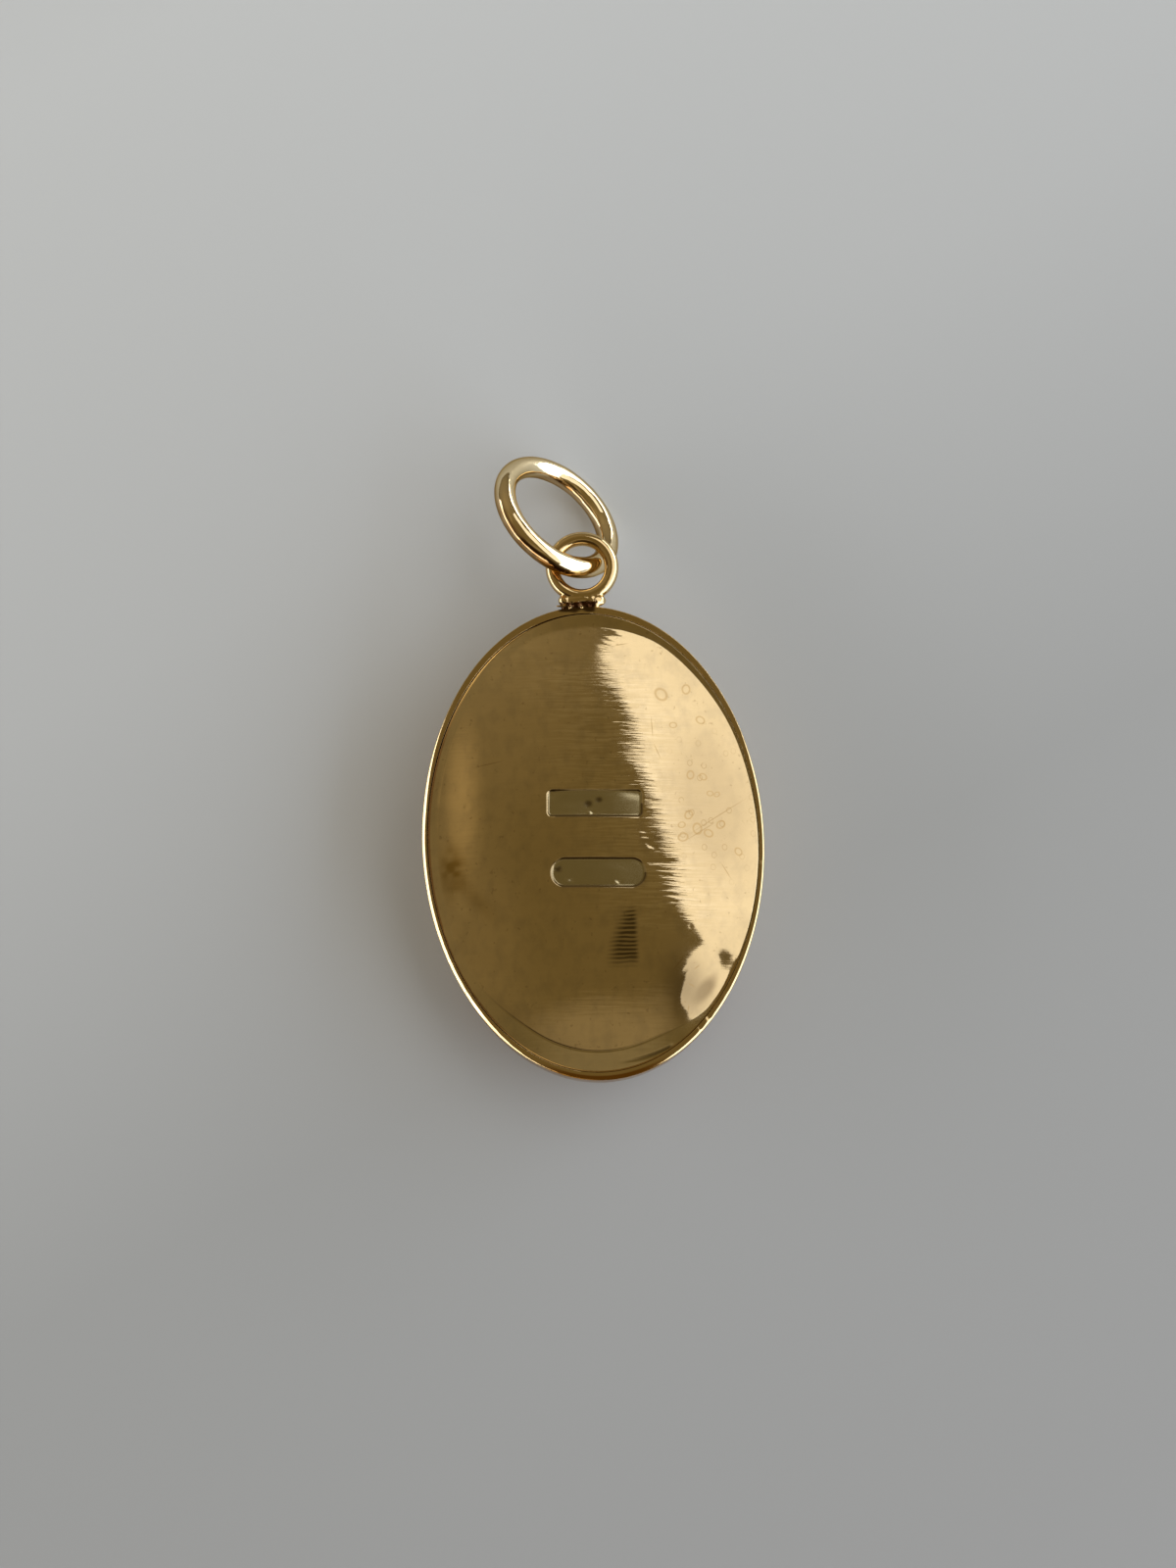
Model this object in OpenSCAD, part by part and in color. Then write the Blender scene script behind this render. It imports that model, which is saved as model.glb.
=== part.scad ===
// Hollow oval charm of thin gold sheet, lying on its front with its back up.
// A small loop is soldered to its top edge, and a jump ring passes through it.
// The origin is the centre of the flat front field, with +Z up through the
// back, and the long axis along Y with the loop toward +Y. Sizes are in mm.

/* [Body] */
// Width of the body across the rim
body_w = 20; // [18:0.5:24]
// Length of the body along the rim, without the loop
body_l = 28; // [26:0.1:31]
// Height of the ledge that carries the back plate, and of the hanging loop
seam_z = 4; // [3.9:0.1:4.2]
// Radius of the shoulder between the flat front field and the side wall
shoulder_r = 1.8; // [1.2:0.1:1.9]
// Thickness of the gold sheet
sheet = 0.42; // [0.38:0.01:0.45]

/* [Rim and back plate] */
// Thickness of the lip that holds the back plate
lip_t = 0.3; // [0.24:0.01:0.32]
// Height of the lip above the ledge
lip_h = 0.5; // [0.4:0.05:0.7]
// Gap between the lip and the edge of the back plate
plate_gap = 0.04; // [0.02:0.01:0.06]
// Width of the flat border of the back plate, round its dome
border_w = 0.6; // [0.4:0.05:0.9]
// Rise of the dome above the flat border
dome_rise = 1.55; // [1.2:0.05:2]

/* [Sunk stamp fields] */
// Depth of both fields, whose floors follow the dome
stamp_depth = 0.12; // [0.08:0.01:0.16]
// Width of the upper, square-ended field
upper_w = 5.4; // [4:0.1:6.5]
// Height of the upper field
upper_h = 1.5; // [1:0.1:2]
// Place of the upper field above the middle of the body
upper_y = 1.9; // [1.4:0.1:3]
// Width of the lower, round-ended field
lower_w = 5.3; // [4:0.1:6.5]
// Height of the lower field
lower_h = 1.8; // [1:0.1:2.2]
// Place of the lower field below the middle of the body
lower_y = -2.15; // [-3:0.05:-1.4]
// Place of both fields to the right of the long axis
stamp_x = 0.2; // [0:0.05:0.5]
// Turn of both fields, in degrees, as they were struck a little askew
stamp_turn = -2.75; // [-5:0.25:5]

/* [Hanging loop] */
// Radius of the loop, to the middle of its wire
loop_r = 1.76; // [1.7:0.02:1.9]
// Thickness of the loop's wire
loop_wire = 0.84; // [0.7:0.02:0.86]
// Space between the loop's wire and the rim, which the solder fills
loop_rise = 0.32; // [0.2:0.02:0.4]
// Place of the loop to the right of the long axis
loop_x = 0.15; // [0.1:0.05:0.2]
// Radius of the middle drop of solder
solder_r = 0.46; // [0.42:0.01:0.48]

/* [Jump ring] */
// Radius of the ring, to the middle of its wire
ring_r = 3.75; // [3.7:0.05:3.85]
// Thickness of the ring's wire
ring_wire = 1.3; // [1.2:0.02:1.32]
// Tilt of the ring from lying flat
ring_tilt = 44.7; // [44:0.1:46]
// Direction toward which the ring's face leans, from +X toward +Y
ring_lean = 33; // [31:1:35]
// Place of the ring's middle to the right of the long axis
ring_x = -1.2; // [-1.3:0.05:-1.1]
// Place of the ring's middle beyond the middle of the loop
ring_rise = 3.4; // [3.3:0.05:3.5]

/* [Hidden] */
$fn = 128;
gold = "goldenrod";
pale_gold = "gold";
// The body is turned as a round dish and then stretched along Y into an oval.
stretch = body_l / body_w;
half_w = body_w / 2;
// Half width of the flat front field
front_r = half_w - shoulder_r;
// The plate stands on a ledge inside the lip, with the same gap under it.
plate_r = half_w - lip_t - plate_gap;
plate_z = seam_z + plate_gap;
// The dome is an arc of one large circle that stands on the flat border.
dome_foot = plate_r - border_w;
crown_z = plate_z + sheet + dome_rise;
dome_r = (dome_foot ^ 2 + dome_rise ^ 2) / (2 * dome_rise);
dome_z = crown_z - dome_r;
// The dome's circle is large, so it is drawn with more steps than the rest.
dome_fn = 1440;
loop_y = body_l / 2 + loop_rise + loop_wire / 2 + loop_r;
// The drops of solder sit nearer to the loop than to the rim, a step apart, and
// the outer ones are a little smaller than the middle one.
solder_set = 0.6;
solder_step = 0.5;
side_drop = 0.9;
solder_y = body_l / 2 + loop_rise * solder_set;
// The low side of the ring stays this much above the surface it lies on.
floor_gap = 0.02;
ring_z = ring_r * sin(ring_tilt) + ring_wire / 2 + floor_gap;
// Length by which a cutting solid passes the face that it cuts.
over = 1;

// Half outline of the round dish up to the ledge, drawn in from its outer face
module dish_outline(inset) {
    translate([0, inset]) square([front_r, seam_z - inset]);
    translate([0, shoulder_r]) square([half_w - inset, seam_z - shoulder_r]);
    translate([front_r, shoulder_r]) circle(r = shoulder_r - inset);
}

// Half section of the lip, with a rounded top
module lip_outline() {
    translate([half_w - lip_t, seam_z - lip_t]) square([lip_t, lip_h + lip_t / 2]);
    translate([half_w - lip_t / 2, seam_z + lip_h - lip_t / 2]) circle(d = lip_t);
}

// Turns a half section into a solid and stretches it along Y into an oval. It is
// made in four quarters, which meet away from the loop.
module oval() {
    for (quarter = [0:3])
        scale([1, stretch, 1]) rotate([0, 0, 45 + 90 * quarter])
            rotate_extrude(angle = 90) children();
}

// Round wire ring that lies flat around the Z axis
module wire_ring(radius, wire) {
    rotate_extrude() translate([radius, 0]) circle(d = wire);
}

// Three drops of solder side by side between the loop and the rim
module solder() {
    for (side = [-1, 0, 1])
        translate([loop_x + side * solder_step, solder_y, seam_z])
            sphere(r = side == 0 ? solder_r : solder_r * side_drop);
}

// Formed front of the charm with its lip, the soldered loop and the solder
module front_shell() {
    color(gold) {
        oval() {
            difference() {
                dish_outline(0);
                dish_outline(sheet);
            }
            lip_outline();
        }
        translate([loop_x, loop_y, seam_z]) wire_ring(loop_r, loop_wire);
        solder();
    }
}

// Half of the region under the dome's circle, less what is cut from its radius
module under_dome(less) {
    intersection() {
        translate([0, dome_z]) circle(r = dome_r - less, $fn = dome_fn);
        square([dome_foot, crown_z]);
    }
}

// Half section of the domed plate, with its flat border
module plate_outline() {
    difference() {
        intersection() {
            union() {
                under_dome(0);
                square([plate_r, plate_z + sheet]);
            }
            translate([0, plate_z]) square([plate_r, crown_z]);
        }
        under_dome(sheet);
    }
}

// Slot with round ends, as wide as w from end to end
module stadium(w, h) {
    square([w - h, h], center = true);
    for (side = [-1, 1]) translate([side * (w - h) / 2, 0]) circle(d = h);
}

// Both sunk fields, as the solids that are cut from the plate
module stamps() {
    difference() {
        for (place = [upper_y, lower_y])
            translate([stamp_x, place, crown_z - over]) rotate([0, 0, stamp_turn])
                linear_extrude(2 * over)
                    if (place == upper_y) square([upper_w, upper_h], center = true);
                    else stadium(lower_w, lower_h);
        oval() under_dome(stamp_depth);
    }
}

// Domed back plate that stands inside the lip
module back_plate() {
    color(pale_gold) difference() {
        oval() plate_outline();
        stamps();
    }
}

// Round ring that passes through the loop, leaning over its left side
module jump_ring() {
    color(gold) translate([ring_x, loop_y + ring_rise, ring_z])
        rotate([0, ring_tilt, ring_lean]) wire_ring(ring_r, ring_wire);
}

front_shell();
back_plate();
jump_ring();
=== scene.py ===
# %% [markdown]
# # An oval gold charm, lying on its front
# The real charm is a hollow oval of thin gold sheet: a formed front with a tall
# side wall, a domed back plate set inside a thin lip, a small loop soldered to
# the top edge, and a jump ring through the loop. The solid parts arrive as a
# fixed frame, and the finer meshes below take their places. Sizes are written in
# millimetres, as a maker thinks of a jewel, and `MM` turns them into metres.

# %% Load the frame
import bpy
import bmesh
import math
import numpy as np
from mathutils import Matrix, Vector


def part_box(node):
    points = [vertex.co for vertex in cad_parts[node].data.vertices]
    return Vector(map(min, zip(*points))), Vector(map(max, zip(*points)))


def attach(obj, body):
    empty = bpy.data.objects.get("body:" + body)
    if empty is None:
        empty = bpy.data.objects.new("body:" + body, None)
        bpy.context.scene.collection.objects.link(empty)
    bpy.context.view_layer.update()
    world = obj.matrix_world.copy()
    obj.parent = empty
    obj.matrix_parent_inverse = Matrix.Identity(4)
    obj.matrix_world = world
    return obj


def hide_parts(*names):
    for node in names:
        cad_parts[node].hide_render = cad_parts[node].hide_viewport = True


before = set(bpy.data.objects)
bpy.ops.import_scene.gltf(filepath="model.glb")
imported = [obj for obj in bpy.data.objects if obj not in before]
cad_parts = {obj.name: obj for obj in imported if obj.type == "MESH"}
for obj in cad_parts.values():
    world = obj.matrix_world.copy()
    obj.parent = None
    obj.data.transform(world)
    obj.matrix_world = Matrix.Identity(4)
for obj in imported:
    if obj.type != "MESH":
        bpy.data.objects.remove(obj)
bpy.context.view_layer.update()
MM = 0.001
print("solid parts:", sorted(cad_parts))

# %% [markdown]
# ## The camera
# The photographer held the camera almost straight above the charm, a little toward
# its lower end. A camera can be placed by rotating it by hand, but it is steadier
# to say which point it looks at, from which side, how high and how far, and to
# work the place out from that. Azimuth 0 looks along +Y.

# %% Place the camera
LOOK_AT = Vector((-0.134, 3.36, 4.0)) * MM
AZIMUTH = math.radians(-2.8)
ELEVATION = math.radians(80)
DISTANCE = 138.5 * MM
LENS = 54.09  # millimetres, on a sensor 36 mm long


def toward(azimuth, elevation):
    """Unit arrow from the charm toward a viewer at this azimuth and elevation."""
    flat = math.cos(elevation)
    return Vector((math.sin(azimuth) * flat, -math.cos(azimuth) * flat, math.sin(elevation)))


camera_data = bpy.data.cameras.new("camera")
camera = bpy.data.objects.new("camera", camera_data)
bpy.context.scene.collection.objects.link(camera)
back = toward(AZIMUTH, ELEVATION)
camera.location = LOOK_AT + back * DISTANCE
camera.rotation_mode = "QUATERNION"
camera.rotation_quaternion = (-back).to_track_quat("-Z", "Y")
camera_data.lens = LENS
camera_data.clip_start = 0.001
bpy.context.scene.camera = camera
print("camera at", [round(v / MM, 1) for v in camera.location], "mm")

# %% [markdown]
# ## The windows and lamps
# Polished gold has almost no colour of its own: it shows the room, tinted yellow.
# Two soft windows stand to the right, and three thin lamps stand low at the left,
# near the viewer and at the far right. Glowing meshes would do, but area lights
# give the same reflections with less grain. Each is placed by the direction from
# which the charm sees it: its turn, and how far it is off the vertical.

# %% Hang the windows and lamps
WINDOW_FAR = 0.6  # metres from the charm


def soft_window(name, azimuth, tilt, size, glow, colour, slide=0):
    """Area light `tilt` degrees off the vertical, turned from +X toward +Y by `azimuth`."""
    data = bpy.data.lights.new(name, "AREA")
    data.shape = "RECTANGLE"
    data.size, data.size_y = size
    data.color = colour
    data.energy = glow * size[0] * size[1] * math.pi
    lamp = bpy.data.objects.new(name, data)
    bpy.context.scene.collection.objects.link(lamp)
    a, t = math.radians(azimuth), math.radians(tilt)
    arrow = Vector((math.cos(a) * math.sin(t), math.sin(a) * math.sin(t), math.cos(t)))
    sideways = Vector((-math.sin(a), math.cos(a), 0))
    lamp.location = arrow * WINDOW_FAR + sideways * slide
    lamp.rotation_mode = "QUATERNION"
    lamp.rotation_quaternion = arrow.to_track_quat("Z", "Y")
    lamp.visible_camera = False
    print(name, "at", [round(v, 2) for v in lamp.location], "m")


soft_window("window_high", 23, 35, (1.15, 0.31), 1.14, (1.0, 0.98, 0.96), slide=-0.175)
soft_window("window_low", -8, 70, (1.4, 0.42), 2.6, (0.84, 0.94, 1.08))
soft_window("lamp_left", 178, 79, (0.75, 0.17), 3.4, (0.95, 0.95, 1.0))
soft_window("lamp_near", 236, 75, (0.64, 0.17), 3.0, (1.0, 0.95, 0.9))
soft_window("lamp_far", 43, 82, (0.36, 0.145), 4.2, (0.97, 1.0, 1.02))

# %% [markdown]
# ## Nodes, one at a time
# The room and every finish are small machines of nodes. They can be wired by hand,
# but a script stays short when a few helpers each build one node, feed its sockets
# and hand on its output.

# %% Helpers that build one node
def feed(tree, source, socket):
    """Gives a socket another node's output, a colour or a plain number."""
    if isinstance(source, bpy.types.NodeSocket):
        tree.links.new(source, socket)
    else:
        socket.default_value = (*source, 1) if socket.type == "RGBA" else source


def fed_node(tree, kind, operation, values):
    """Maths node of this kind, its sockets fed in their order."""
    node = tree.nodes.new(kind)
    node.operation = operation
    for socket, value in zip(node.inputs, values):
        feed(tree, value, socket)
    return node


def vector_maths(tree, operation, *values):
    """Result of a vector maths node: a number for a length or a dot product."""
    node = fed_node(tree, "ShaderNodeVectorMath", operation, values)
    return node.outputs["Value" if operation in ("LENGTH", "DOT_PRODUCT") else "Vector"]


def mixed(tree, below, above, factor, way="MIX"):
    """Colour `above` mixed into the colour `below`."""
    mix = tree.nodes.new("ShaderNodeMix")
    mix.data_type = "RGBA"
    mix.blend_type = way
    for name, source in (("Factor", factor), ("A", below), ("B", above)):
        feed(tree, source, mix.inputs[name])
    return mix.outputs["Result"]


def colour_ramp(tree, value, stops, way="LINEAR"):
    """Colour for a number; each stop is a place and its colour."""
    node = tree.nodes.new("ShaderNodeValToRGB")
    ramp = node.color_ramp
    ramp.interpolation = way
    while len(ramp.elements) < len(stops):
        ramp.elements.new(0.5)
    for element, (place, colour) in zip(ramp.elements, stops):
        element.position = place
        element.color = (*colour, 1)
    tree.links.new(value, node.inputs[0])
    return node.outputs[0]


print("helpers ready:", [helper.__name__ for helper in (vector_maths, mixed, colour_ramp)])

# %% [markdown]
# ## The dim room
# Where no window stands, the gold shows the room: warm dim air, the dark shape of
# whoever holds the camera, and faint glows on walls and paper. Walls could be
# built, but a world whose colour depends only on the direction gives the same
# reflections and is quicker to tune.

# %% Glow toward a direction
world = bpy.data.worlds.new("room")
bpy.context.scene.world = world
world.use_nodes = True
room = world.node_tree
room.nodes.clear()
arrow = room.nodes.new("ShaderNodeTexCoord").outputs["Generated"]


def toward_glow(direction, stops, squash=(1, 1, 1)):
    """Colour by how nearly a ray points in a direction; a squash below 1 makes it longer."""
    pressed = vector_maths(room, "MULTIPLY", arrow, squash)
    unit = vector_maths(room, "NORMALIZE", pressed)
    middle = (Vector(direction) * Vector(squash)).normalized()
    return colour_ramp(room, vector_maths(room, "DOT_PRODUCT", unit, middle), stops, "EASE")


def together(first, second):
    """Two colours of the room added up."""
    return mixed(room, first, second, 1, "ADD")


print("world:", world.name)

# %% Paint the dim room
NONE = (0, 0, 0)
WALL_GLOW = [(0.9, NONE), (1.0, (0.045, 0.035, 0.021))]
air = toward_glow((0, 0, 1), [
    (0.0, (0.10, 0.085, 0.055)),
    (0.25, (0.15, 0.12, 0.07)),
    (0.6, (0.20, 0.155, 0.08)),
    (1.0, (0.178, 0.131, 0.053)),
])
viewer = toward_glow((-0.3, -0.85, 0.42), [(0.72, (1, 1, 1)), (0.9, (0.22, 0.17, 0.1))])
far_wall = toward_glow((-0.25, 0.95, 0.15), [(0.6, NONE), (0.97, (0.10, 0.085, 0.055))])
door_stops = [(0.9945, NONE), (0.9994, (0.19, 0.14, 0.072))]
doorway = toward_glow((-0.70, 0.33, 1), door_stops, (1, 0.46, 1))
paper = toward_glow((0, -0.42, 0.91), [(0.987, NONE), (0.998, (0.13, 0.11, 0.08))], (0.35, 1, 1))
left_wall = toward_glow((-0.3, 0.55, 0.78), WALL_GLOW)
left_low = toward_glow((-0.62, -0.12, 0.775), WALL_GLOW)
walls = together(far_wall, together(left_wall, left_low))
light = together(mixed(room, air, viewer, 1, "MULTIPLY"), walls)
light = together(light, together(doorway, paper))
shine = room.nodes.new("ShaderNodeBackground")
room.links.new(light, shine.inputs["Color"])
sky = room.nodes.new("ShaderNodeOutputWorld")
room.links.new(shine.outputs[0], sky.inputs["Surface"])
bpy.context.scene.view_settings.view_transform = "Standard"
print("room nodes:", len(room.nodes))

# %% [markdown]
# ## The floor
# The table is a plain pale sheet with a dull sheen. It is darker toward the lower
# right, a painted fall-off of the light, and it glows faintly: painted fill light
# that lifts the shadows.
# It is a real mesh, because the charm's shadow on it and its reflection in the
# side wall tell the eye how high the charm stands.

# %% Lay the floor
FLOOR_HALF = 1.5  # metres
floor_mesh = bpy.data.meshes.new("floor")
corners = [(-FLOOR_HALF, -FLOOR_HALF, 0), (FLOOR_HALF, -FLOOR_HALF, 0)]
corners += [(FLOOR_HALF, FLOOR_HALF, 0), (-FLOOR_HALF, FLOOR_HALF, 0)]
floor_mesh.from_pydata(corners, [], [(0, 1, 2, 3)])
floor = bpy.data.objects.new("floor", floor_mesh)
bpy.context.scene.collection.objects.link(floor)
print("floor", FLOOR_HALF * 2, "m wide")

# %% [markdown]
# ## The table's colour
# The light falls off across the table. Rather than chase it with one more lamp,
# the sheet's own colour runs along a slanting line, from dark to light.

# %% Colour the floor
FALL = (-0.45, 0.89, 0)  # direction in which the table gets lighter
FALL_FROM, FALL_TO = -0.045, 0.06  # metres along it


def stretched(tree, value, start, end, low=0.0, high=1.0, way="LINEAR"):
    """Turns the range from start to end into the one from low to high, and stops there."""
    node = tree.nodes.new("ShaderNodeMapRange")
    node.interpolation_type = way
    names = ("Value", "From Min", "From Max", "To Min", "To Max")
    for name, source in zip(names, (value, start, end, low, high)):
        feed(tree, source, node.inputs[name])
    return node.outputs[0]


table = bpy.data.materials.new("pale_table")
table.use_nodes = True
sheet_tree = table.node_tree
table_shader = sheet_tree.nodes["Principled BSDF"]
table_shader.inputs["Roughness"].default_value = 0.55
across = sheet_tree.nodes.new("ShaderNodeTexCoord").outputs["Object"]
slant = vector_maths(sheet_tree, "DOT_PRODUCT", across, FALL)
tone = colour_ramp(sheet_tree, stretched(sheet_tree, slant, FALL_FROM, FALL_TO), [
    (0.0, (0.325, 0.343, 0.368)),
    (0.35, (0.355, 0.378, 0.402)),
    (0.65, (0.52, 0.553, 0.585)),
    (1.0, (0.645, 0.687, 0.725)),
])
sheet_tree.links.new(tone, table_shader.inputs["Base Color"])
# The sheet glows faintly: painted fill light, which lifts the charm's shadow on it.
table_shader.inputs["Emission Color"].default_value = (0.075, 0.072, 0.066, 1)
table_shader.inputs["Emission Strength"].default_value = 1
floor_mesh.materials.append(table)
print("table nodes:", len(sheet_tree.nodes))

# %% [markdown]
# ## Turning an oval
# The body is a round dish stretched along Y. A lathe shape like this can be made
# with a Screw modifier, but worked out as arrays each ring of points can still be
# pushed by hand afterwards, which dents and wear need. Both ends of the section
# lie on the axis, so the result is one closed solid.

# %% Turn a section into a solid
STRETCH = 1.4


def spin(section, turns):
    """Places and faces of a closed solid turned from a section of (radius, height) rows."""
    section = np.array(section, dtype=float)
    angle = np.linspace(0, 2 * np.pi, turns, endpoint=False)
    rings = section[1:-1]
    ring_x = rings[:, 0][:, None] * np.cos(angle)
    ring_y = rings[:, 0][:, None] * np.sin(angle) * STRETCH
    ring_z = np.repeat(rings[:, 1][:, None], turns, axis=1)
    places = np.stack([ring_x, ring_y, ring_z], axis=-1).reshape(-1, 3)
    ends = np.array([[0, 0, section[0, 1]], [0, 0, section[-1, 1]]])
    step = np.arange(turns)
    after = (step + 1) % turns
    faces = []
    for row in range(len(rings) - 1):
        low, high = row * turns, (row + 1) * turns
        faces.append(np.stack([low + step, low + after, high + after, high + step], axis=1))
    quads = np.concatenate(faces).tolist()
    first, last = len(places), len(places) + 1
    top = (len(rings) - 1) * turns
    fans = [(first, int(b), int(a)) for a, b in zip(step, after)]
    fans += [(last, int(top + a), int(top + b)) for a, b in zip(step, after)]
    return np.concatenate([places, ends]), quads + fans


print("the oval is", STRETCH, "times as long as it is wide")

# %% [markdown]
# ## From points to a piece
# Each piece becomes a mesh that rides on the charm and hides the solid it stands
# for. Blender turns its normals outward, which is safer than getting the order of
# every face right. Numbers kept at its points tell its material where painted
# shade, tool marks and dull places sit.

# %% Make a piece and keep numbers on it
def piece_from(name, places, faces, slot, *nodes):
    """Smooth closed mesh from places in mm, which rides on the charm and replaces nodes."""
    mesh = bpy.data.meshes.new(name)
    mesh.from_pydata((np.asarray(places) * MM).tolist(), [], faces)
    outward = bmesh.new()
    outward.from_mesh(mesh)
    bmesh.ops.recalc_face_normals(outward, faces=outward.faces)
    outward.to_mesh(mesh)
    outward.free()
    mesh.shade_smooth()
    piece = bpy.data.objects.new(name, mesh)
    bpy.context.scene.collection.objects.link(piece)
    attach(piece, "root")
    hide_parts(*nodes)
    print(name, len(mesh.vertices), "points,", len(mesh.polygons), "faces")
    return piece


def store(piece, name, values):
    """Keeps one number for each point of the piece, for its material to read."""
    mask = piece.data.attributes.new(name, "FLOAT", "POINT")
    mask.data.foreach_set("value", np.asarray(values, dtype=np.float32))
    print(piece.name, name, "is strong at", int((np.asarray(values) > 0.5).sum()), "points")


# %% [markdown]
# ## Unevenness made by hand
# Nothing on a handmade jewel is quite true. Seeded value noise gives the same
# gentle unevenness on every run: random heights on a grid, blended smoothly
# between the grid's points. A smooth step from 0 to 1 is used as often.

# %% Seeded smooth noise and a smooth step
NOISE_CELLS = 256


def uneven(seed, u, v):
    """Smooth noise from -1 to 1 at places u, v, with one random height for each unit."""
    heights = np.random.default_rng(seed).uniform(-1, 1, (NOISE_CELLS, NOISE_CELLS))
    iu, iv = np.floor(u).astype(int), np.floor(v).astype(int)
    fu, fv = u - iu, v - iv
    fu, fv = fu * fu * (3 - 2 * fu), fv * fv * (3 - 2 * fv)
    here = heights[iu % NOISE_CELLS, iv % NOISE_CELLS]
    right = heights[(iu + 1) % NOISE_CELLS, iv % NOISE_CELLS]
    above = heights[iu % NOISE_CELLS, (iv + 1) % NOISE_CELLS]
    across = heights[(iu + 1) % NOISE_CELLS, (iv + 1) % NOISE_CELLS]
    return (here * (1 - fu) + right * fu) * (1 - fv) + (above * (1 - fu) + across * fu) * fv


def fade(value, start, end):
    """Smooth step from 0 at start to 1 at end."""
    t = np.clip((value - start) / (end - start), 0, 1)
    return t * t * (3 - 2 * t)


print("noise repeats after", NOISE_CELLS, "cells; half way up a step:", fade(0.5, 0, 1))

# %% [markdown]
# ## Values that change along the jewel
# Wear sits in places: here the lip is rubbed, there it is sound. A curve object
# could hold that, but a short table of places and values is easier to read. The
# tables are blurred a little, so that no change in them leaves a corner.

# %% Read a table round the oval
def around_oval(table, angle, blur=5.0):
    """Smooth value at each angle, from a table of (degrees, value) rows."""
    every = np.arange(0, 360, 0.5)
    flat = np.interp(every, *zip(*table), period=360)
    waves = np.fft.rfftfreq(len(every), 0.5)
    soft = np.fft.rfft(flat) * np.exp(-2 * (np.pi * waves * blur) ** 2)
    return np.interp(angle % 360, every, np.fft.irfft(soft, len(every)), period=360)


print("half way between 0 and 1, a table gives", around_oval([(0, 0), (90, 1), (180, 0)], 45.0).round(2))

# %% [markdown]
# ## The front shell
# A goldsmith forms the front over a stake: a flat field, a round shoulder and a
# tall wall that ends in a thin lip. The lip was pushed and burnished around the
# back plate. A solidified surface would be quicker, but the section below is the
# real one with its wall thickness, so the mesh is hollow as the charm is.

# %% Section of the front shell
BODY_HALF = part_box("front_shell")[1][0] / MM
SHOULDER = 1.8
SHEET = 0.42
LEDGE_Z = 4.0
LIP_T = 0.3
LIP_TOP = 4.5
LIP_ROUND = 0.04  # radius of the lip's outer corner
INNER_ROUND = 0.012  # radius of its inner corner
FIELD = BODY_HALF - SHOULDER
LIP_IN = BODY_HALF - LIP_T - 0.02  # burnished a little over the plate
LIP_OUT = BODY_HALF - LIP_ROUND
shoulder_middle = (FIELD, SHOULDER)


def arc(centre, radius, start, end, steps):
    """Points of an arc in a section, by angles in degrees from the outward direction."""
    turn = np.radians(np.linspace(start, end, steps))
    return [(centre[0] + radius * math.cos(t), centre[1] + radius * math.sin(t)) for t in turn]


wall_rows = np.linspace(SHOULDER, LIP_TOP - LIP_ROUND - 0.04, 12)[1:]
lip_rows = np.linspace(LIP_OUT - 0.006, LIP_IN + 0.018, 10)

shell_section = [(r, 0) for r in np.linspace(0, FIELD, 8)]
shell_section += arc(shoulder_middle, SHOULDER, -90, 0, 16)[1:]
shell_section += [(BODY_HALF, z) for z in wall_rows]
shell_section += arc((LIP_OUT, LIP_TOP - LIP_ROUND), LIP_ROUND, 0, 90, 8)
shell_section += [(r, LIP_TOP) for r in lip_rows]
shell_section += arc((LIP_IN + INNER_ROUND, LIP_TOP - INNER_ROUND), INNER_ROUND, 90, 180, 4)
shell_section += [(LIP_IN, z) for z in (LIP_TOP - 0.1, LIP_TOP - 0.3, LEDGE_Z)]
shell_section += [(BODY_HALF - SHEET, LEDGE_Z - 0.02), (BODY_HALF - SHEET, 3.0)]
shell_section += arc(shoulder_middle, SHOULDER - SHEET, 0, -90, 10)
shell_section += [(r, SHEET) for r in np.linspace(FIELD, 0, 5)[1:]]
print("rows in the shell's section:", len(shell_section))

# %% [markdown]
# ## A worn lip
# Years in a purse rub the lip off to the outside and leave small nicks. Both could
# be sculpted, but here each is one row of a table: where it is round the oval, and
# how wide or how deep.

# %% Tables of what happened to the lip
NICKS = [  # place around the oval in degrees, half width, depth
    (202, 1.2, 0.05), (206, 0.8, 0.035), (209.5, 0.7, 0.05), (214, 1.6, 0.03),
    (219, 0.9, 0.045), (353, 0.9, 0.05), (318, 1.4, 0.03), (309, 1.0, 0.045),
    (305, 0.7, 0.03), (262, 1.5, 0.03), (35, 1.1, 0.02), (120, 1.6, 0.02), (160, 1.0, 0.025),
]
CHAMFER = [  # degrees round the oval, width of the lip that is rubbed off to the outside
    (0, 0.10), (17, 0.10), (25, 0.03), (140, 0.03), (158, 0.12), (168, 0.20), (228, 0.18),
    (240, 0.10), (252, 0.05), (262, 0.02), (280, 0.02), (288, 0.08), (300, 0.11),
]
CHAMFER_SLOPE = 0.8
print(len(NICKS), "nicks, deepest", max(depth for _, _, depth in NICKS), "mm")

# %% Wear the lip and make the wall uneven
SHELL_TURNS = 720


def bell(far, half, power=2):
    """1 at the middle, falling off at about `half` away; a higher power is squarer."""
    return np.exp(-((far / half) ** power))


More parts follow.
